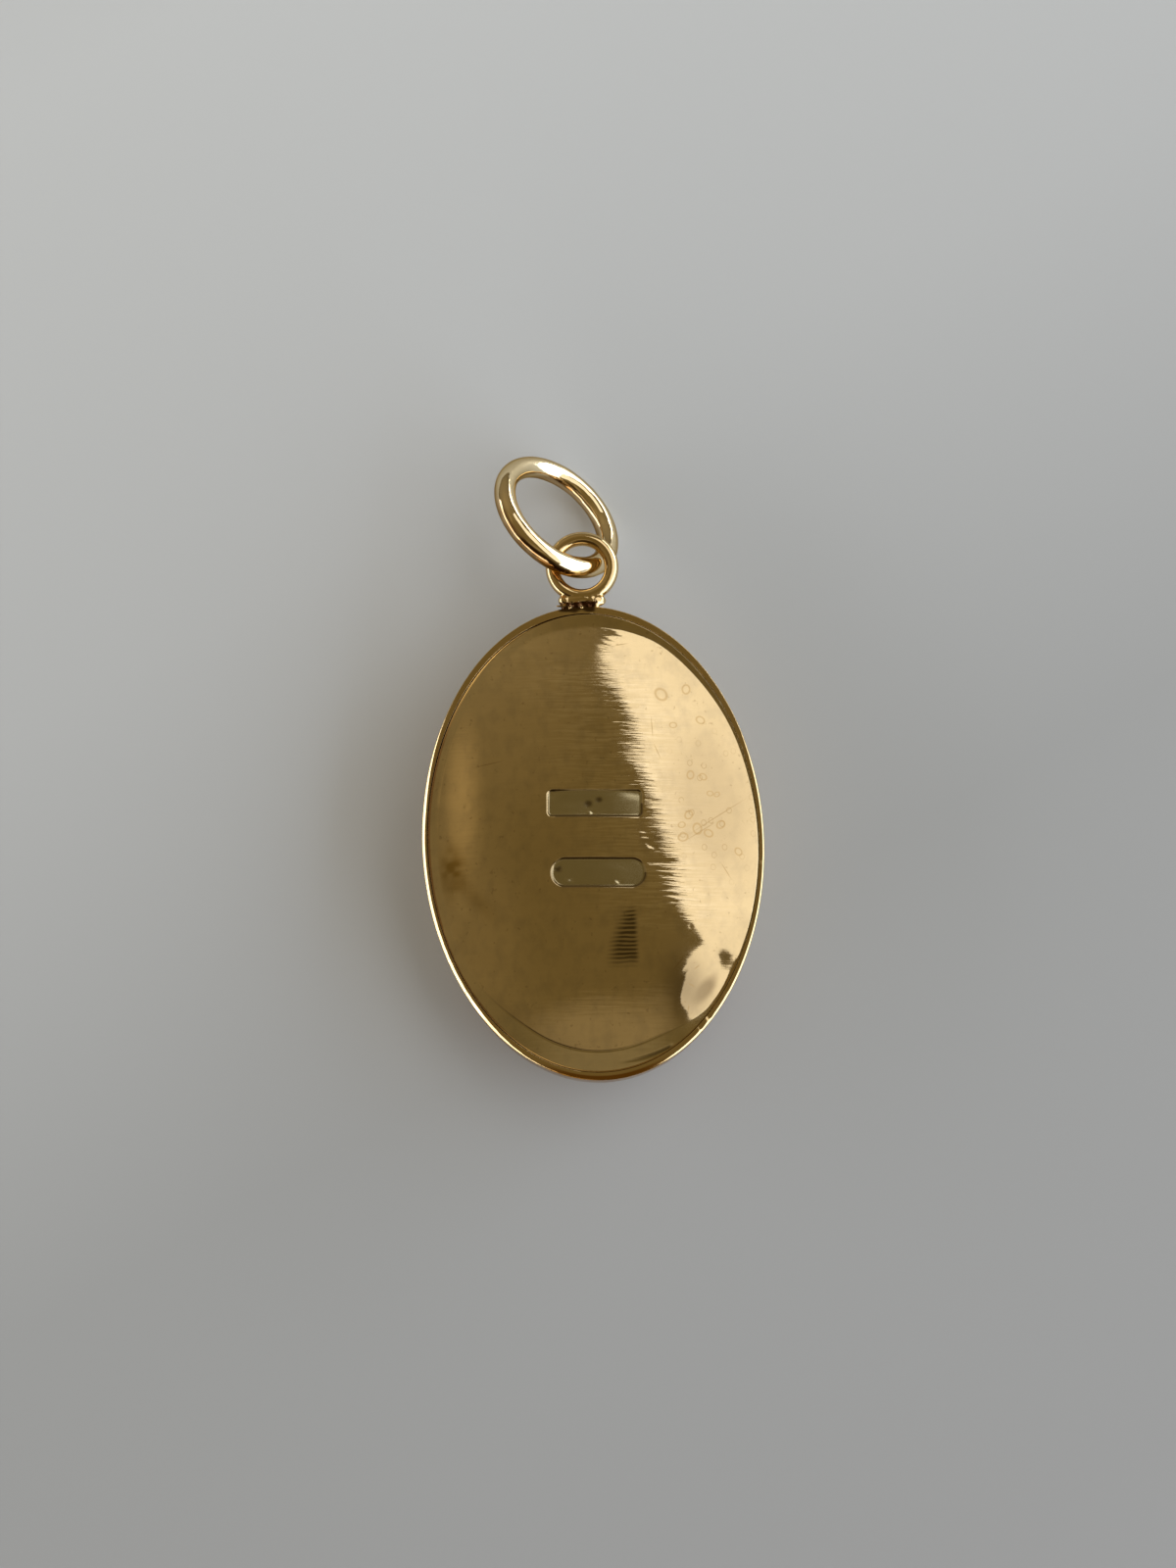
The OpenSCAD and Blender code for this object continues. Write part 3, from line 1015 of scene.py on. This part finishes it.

# %% [markdown]
# ## One recipe for three golds
# The shell, the plate and the ring are the same metal with a different age and
# polish. One function makes the gold with its haze, and each piece then gets its
# own colours, marks and painted shade on top, so the three still belong together.

# %% The recipe
def gold(name, colour, roughness, edge=(0.88, 0.72, 0.48)):
    """Polished gold with a haze: material, node tree, shader, place in mm, roughness."""
    material = bpy.data.materials.new(name)
    material.use_nodes = True
    tree = material.node_tree
    shader = tree.nodes["Principled BSDF"]
    shader.inputs["Metallic"].default_value = 1
    shader.inputs["Specular Tint"].default_value = (*edge, 1)
    shader.inputs["Base Color"].default_value = (*colour, 1)
    place = tree.nodes.new("ShaderNodeTexCoord").outputs["Object"]
    in_mm = vector_maths(tree, "MULTIPLY", place, (1 / MM, 1 / MM, 1 / MM))
    haze = noise(tree, in_mm, (0.45, 0.45, 0.45), 4)
    rough = stretched(tree, haze, 0.3, 0.75, roughness * 0.7, roughness * 1.6)
    tree.links.new(rough, shader.inputs["Roughness"])
    print(name, "starts with", len(tree.nodes), "nodes")
    return material, tree, shader, in_mm, rough


# %% Gold of the shell, the loop and the ring
SHELL_COLOUR = (0.70, 0.53, 0.28)
RING_COLOUR = (0.82, 0.66, 0.40)
shell_gold, tree, shader, in_mm, rough = gold("shell_gold", SHELL_COLOUR, 0.11)
relief(tree, shader, [(noise(tree, in_mm, (3, 3, 3), 3), 0.004)])
# Painted shade: reddish on the wall under the lip, dark in the seam and in the joint.
colour = laid_over(tree, SHELL_COLOUR, (0.36, 0.15, 0.012), stored(tree, "warm_shade"))
colour = laid_over(tree, colour, (0.06, 0.025, 0.01), stored(tree, "recess_shade"))
tree.links.new(colour, shader.inputs["Base Color"])
front_shell.data.materials.append(shell_gold)
hanging_loop.data.materials.append(shell_gold)
ring_gold, tree, shader, in_mm, rough = gold("ring_gold", RING_COLOUR, 0.06, (0.56, 0.42, 0.23))
relief(tree, shader, [(noise(tree, in_mm, (2, 2, 2), 3), 0.003)])
# Painted shade on the side of the ring turned away from the light.
colour = laid_over(tree, RING_COLOUR, (0.28, 0.13, 0.03), stored(tree, "warm_shade"))
tree.links.new(colour, shader.inputs["Base Color"])
jump_ring.data.materials.append(ring_gold)
print("golds:", shell_gold.name, ring_gold.name)

# %% [markdown]
# ## Small marks as shapes
# Drops that dried left thin rings, and hard things left scratches. They could be
# painted into an image, but a small ellipse worked out in the material stays sharp
# at any size. Some are placed one by one. The rest are scattered by a cell
# texture, which gives each cell of the back one ring, and chance leaves some out.

# %% Ellipses and scattered rings
ANY_HEIGHT = 1000  # millimetres, so that only the place on the back counts


def mark(tree, in_mm, middle, size, turn, ring=False):
    """1 on a small ellipse on the back, or on its outline, and 0 elsewhere."""
    place = laid_out(tree, in_mm, (*size, ANY_HEIGHT), (*middle, 0), math.radians(turn))
    far = vector_maths(tree, "LENGTH", place)
    if ring:
        off_line = maths(tree, "ABSOLUTE", maths(tree, "SUBTRACT", far, 1))
        return stretched(tree, off_line, 0.35, 0.05, way="SMOOTHSTEP")
    return stretched(tree, far, 1.0, 0.3, way="SMOOTHSTEP")


def drop_marks(tree, in_mm, area):
    """Small rings scattered by chance in the area."""
    cells = tree.nodes.new("ShaderNodeTexVoronoi")
    cells.voronoi_dimensions = "2D"
    cells.inputs["Scale"].default_value = 1
    tree.links.new(laid_out(tree, in_mm, (1.7, 1.45, 1), way="POINT"), cells.inputs["Vector"])
    outline = maths(tree, "COMPARE", cells.outputs["Distance"], 0.24, 0.035)
    chance = maths(tree, "GREATER_THAN", cells.outputs["Color"], 0.6)
    return maths(tree, "MULTIPLY", maths(tree, "MULTIPLY", outline, chance), area)


WATER_RINGS = [  # middle and radius of the marks that drops of water left, in mm
    (6.63, 6.69, 0.20), (5.84, 3.37, 0.19), (6.58, 3.25, 0.17), (6.93, 2.25, 0.14),
    (7.33, 2.19, 0.13), (7.45, 0.40, 0.20), (6.06, 0.18, 0.24), (5.16, 0.42, 0.16),
    (5.6, 1.0, 0.2), (5.2, -0.3, 0.22), (6.7, -0.1, 0.2), (5.0, 6.4, 0.16), (4.4, 8.3, 0.3),
    (5.9, 8.6, 0.22), (8.4, -1.2, 0.18),
]
SCRATCHES = [  # middle, half length, turn in degrees
    (3.75, 6.3, 0.85, 91), (3.97, 4.85, 0.65, 111), (7.3, 0.9, 2.4, 31), (6.3, 0.05, 1.3, 30),
    (4.6, -7.5, 0.7, 48), (-5.9, 4.6, 1.2, 8), (7.6, -2.3, 0.7, -60), (2.2, 11.5, 0.6, 10),
    (5.25, -8.8, 0.28, 150), (5.0, -10.1, 0.25, 80), (5.6, -7.8, 0.3, 35),
]
SCRATCH_HALF = 0.045  # half the width of a scratch, in mm
print(len(WATER_RINGS), "rings placed by hand,", len(SCRATCHES), "scratches")

# %% [markdown]
# ## The polish of the back
# The polishing hairs and streaks run across the plate, turned by `HAND`. They are
# stretched noise: as bump they blur the reflections in one direction, and the same
# noise lightens and darkens the metal, so the two agree. Clouds and mottling
# are the soft film of handling.

# %% Gold of the back plate: streaks, hairs and clouds
plate_gold, tree, shader, in_mm, rough = gold("plate_gold", (0.70, 0.55, 0.30), 0.055)
streaks = noise(tree, in_mm, (0.4, 4.5, 1), 4, HAND)
fine = noise(tree, in_mm, (0.7, 8.5, 1), 2, HAND)
hairs = maths(tree, "MULTIPLY", fine, stored(tree, "brushed"))
grain = noise(tree, in_mm, (5, 7, 5), 2)
relief(tree, shader, [(streaks, 0.003), (hairs, 0.009), (grain, 0.0004)])
cloud = noise(tree, in_mm, (0.35, 0.5, 1), 5)
light_hairs = maths(tree, "MULTIPLY", stretched(tree, fine, 0.42, 0.62), stored(tree, "brushed"))
mottle = stretched(tree, noise(tree, in_mm, (1.5, 1.0, 1), 6), 0.45, 0.7)
layers = [  # colour, where it lies, how strongly
    ((0.54, 0.425, 0.24), cloud, 0.65),
    ((0.58, 0.44, 0.24), streaks, 0.25),
    ((1.0, 0.85, 0.60), light_hairs, 0.5),
    ((0.50, 0.40, 0.25), mottle, 0.45),
]
print("layers of polish:", len(layers))

# %% [markdown]
# ## Film, drops and scratches
# On the lit side a thin film dulls the gold, with dried drops and specks in it.
# Each mark is a layer of colour over the ones before, as a painter would glaze.

# %% Add the film, the drops and the scratches
film = mark(tree, in_mm, (6.9, 1.6), (3.6, 6.2), 8)
# Painted shade over the dent in the lobe of light at the lower right.
lobe_shade = mark(tree, in_mm, (6.0, -9.1), (1.35, 0.6), 48)
specks = stretched(tree, noise(tree, in_mm, (3.6, 3.0, 1), 3), 0.66, 0.72)
layers += [
    ((0.50, 0.385, 0.225), film, 0.6),
    ((0.24, 0.17, 0.09), lobe_shade, 0.85),
    # painted shade over the dented lobe
    ((0.33, 0.255, 0.15), stored(tree, "dent_shade"), 0.95),
    ((0.36, 0.24, 0.10), drop_marks(tree, in_mm, film), 0.5),
    ((0.34, 0.24, 0.12), specks, 0.4),
]
for cx, cy, radius in WATER_RINGS:
    outline = mark(tree, in_mm, (cx, cy), (radius, radius * 1.25), 90 * cx, ring=True)
    layers.append(((0.42, 0.27, 0.10), outline, 0.5))
for cx, cy, half, turn in SCRATCHES:
    scratch = mark(tree, in_mm, (cx, cy), (half, SCRATCH_HALF), turn)
    layers.append(((0.36, 0.24, 0.10), scratch, 0.55))
layers += [
    ((0.52, 0.47, 0.30), stored(tree, "dull"), 0.8),
    # brown painted reflection at the left, and its trail
    ((0.33, 0.215, 0.055), stored(tree, "brown_reflection"), 0.9),
    # painted shade in the recesses
    ((0.10, 0.06, 0.02), stored(tree, "recess_shade"), 0.85),
]
print("layers in all:", len(layers))

# %% [markdown]
# ## The worked patch
# Below the lower field the metal was scored with a tool, in close, nearly even
# lines across. A wave texture gives such lines, and the fine polishing noise
# breaks them up a little. The lines are laid on last.

# %% Score the worked patch
scored = tree.nodes.new("ShaderNodeTexWave")
scored.bands_direction = "Y"
for setting, value in (("Scale", 1.3), ("Distortion", 2.6), ("Detail", 1), ("Detail Scale", 0.8)):
    scored.inputs[setting].default_value = value
tree.links.new(in_mm, scored.inputs["Vector"])
broken = maths(tree, "MULTIPLY_ADD", scored.outputs[1], 0.6, fine)
lines = stretched(tree, broken, 0.62, 0.9, low=0.28)
layers.append(((0.08, 0.05, 0.02), maths(tree, "MULTIPLY", lines, stored(tree, "rough")), 0.85))
print("lines scored into", plate_gold.name)

# %% [markdown]
# ## All layers on the plate
# The layers are laid over the base colour in their order, and the dull places also
# get a rougher surface, because dull gold scatters the light and doesn't only
# look darker.

# %% Finish the gold of the back plate
colour = (0.79, 0.63, 0.375)
for tint, where, amount in layers:
    colour = laid_over(tree, colour, tint, where, amount)
tree.links.new(colour, shader.inputs["Base Color"])
softer = maths(tree, "MULTIPLY_ADD", stored(tree, "dull"), 0.13, rough)
tree.links.new(softer, shader.inputs["Roughness"])
back_plate.data.materials.append(plate_gold)
print("gold of the back:", plate_gold.name, "with", len(tree.nodes), "nodes")
